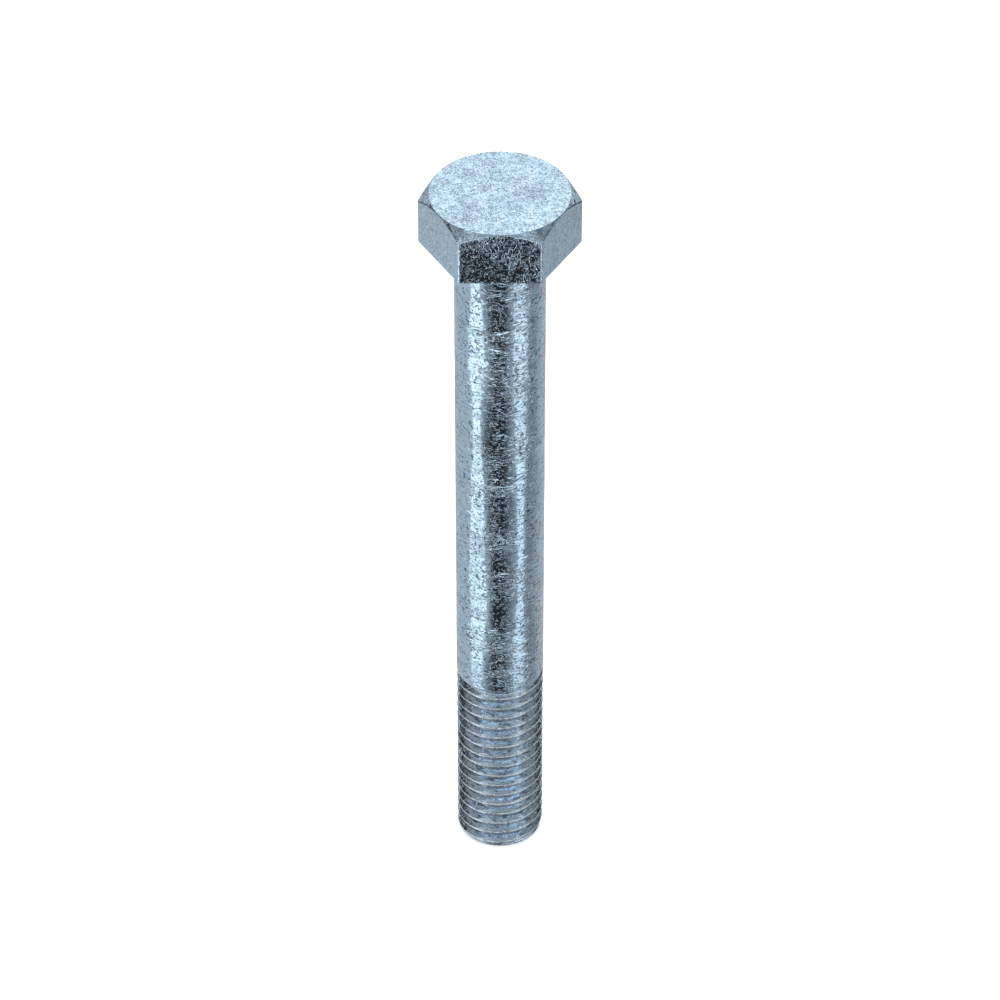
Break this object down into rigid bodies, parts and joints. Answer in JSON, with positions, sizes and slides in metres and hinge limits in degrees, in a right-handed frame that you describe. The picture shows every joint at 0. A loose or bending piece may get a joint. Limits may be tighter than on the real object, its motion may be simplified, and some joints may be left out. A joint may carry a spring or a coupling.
{
  "type": "hex bolt",
  "caption": "Hex head bolt with a plain shank and a short right-hand thread, bright zinc plated, to clamp parts together with a nut or a tapped hole.",
  "frame": {"origin": "centre of the bearing plane under the head, on the bolt's axis", "axes": "+Z along the bolt's axis, from the point towards the top of the head; two wrench flats face -Y and +Y, two corners lie on -X and +X"},
  "size_m": [0.0206, 0.018, 0.1068],
  "materials": {
    "head_zinc": "bright blue zinc plate over forged steel, fine wrinkles and small dents",
    "shank_zinc": "bright blue zinc plate over drawn bar, finely pitted and scuffed",
    "thread_zinc": "bright blue zinc plate over rolled thread, polished crests and duller flanks"
  },
  "bodies": {
    "root": {"hex_head": "head_zinc", "plain_shank": "shank_zinc", "threaded_shank": "thread_zinc"}
  },
  "joints": []
}
